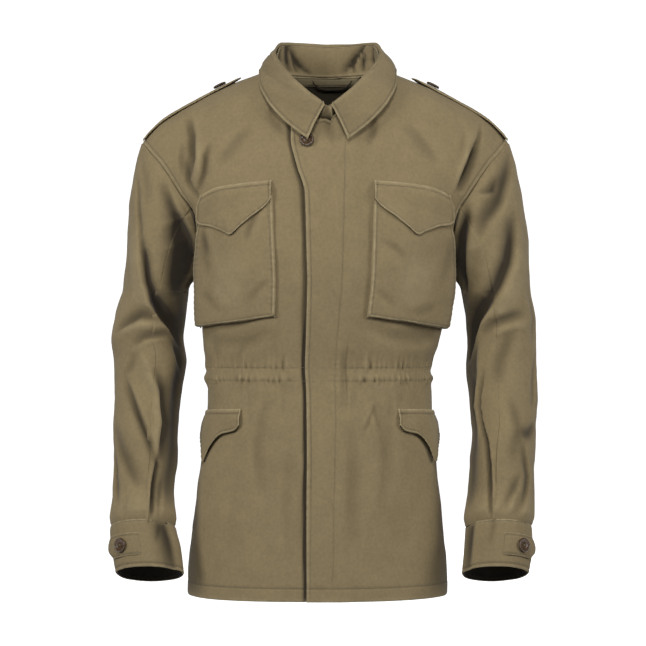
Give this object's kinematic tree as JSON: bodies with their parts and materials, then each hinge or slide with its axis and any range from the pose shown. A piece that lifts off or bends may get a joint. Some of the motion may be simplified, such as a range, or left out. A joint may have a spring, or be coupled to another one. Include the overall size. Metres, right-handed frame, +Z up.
{
  "type": "field jacket",
  "caption": "Hip-length cotton field jacket, filled out as when worn and held at the neck, with a turned-down collar, covered front, flap pockets, shoulder loops and buttoned cuffs.",
  "frame": {"origin": "centre of the neck opening, at the height where the shoulder seams meet the collar, where the wearer holds the jacket", "axes": "+Z up along the body, front facing -Y, +X towards the wearer's left"},
  "size_m": [0.6089, 0.2509, 0.7911],
  "materials": {
    "olive_sateen": "washed cotton sateen, worn pale along its edges",
    "button_brown": "dark brown plastic with a raised rim",
    "neck_facing_cotton": "plain cotton"
  },
  "bodies": {
    "root": {"back": "olive_sateen", "chest_flap_l": "olive_sateen", "chest_flap_r": "olive_sateen", "chest_pocket_l": "olive_sateen", "chest_pocket_r": "olive_sateen", "collar_fall": "olive_sateen", "collar_stand": "olive_sateen", "cuff_l": "olive_sateen", "cuff_r": "olive_sateen", "cuff_tab_l": "olive_sateen", "cuff_tab_r": "olive_sateen", "epaulette_l": "olive_sateen", "epaulette_r": "olive_sateen", "front_left": "olive_sateen", "front_right": "olive_sateen", "hanger_loop": "olive_sateen", "hip_flap_l": "olive_sateen", "hip_flap_r": "olive_sateen", "sleeve_under_l": "olive_sateen", "sleeve_under_r": "olive_sateen", "sleeve_upper_l": "olive_sateen", "sleeve_upper_r": "olive_sateen", "button_cuff_l": "button_brown", "button_cuff_r": "button_brown", "button_epaulette_l": "button_brown", "button_epaulette_r": "button_brown", "button_neck": "button_brown", "neck_facing": "neck_facing_cotton"}
  },
  "joints": []
}
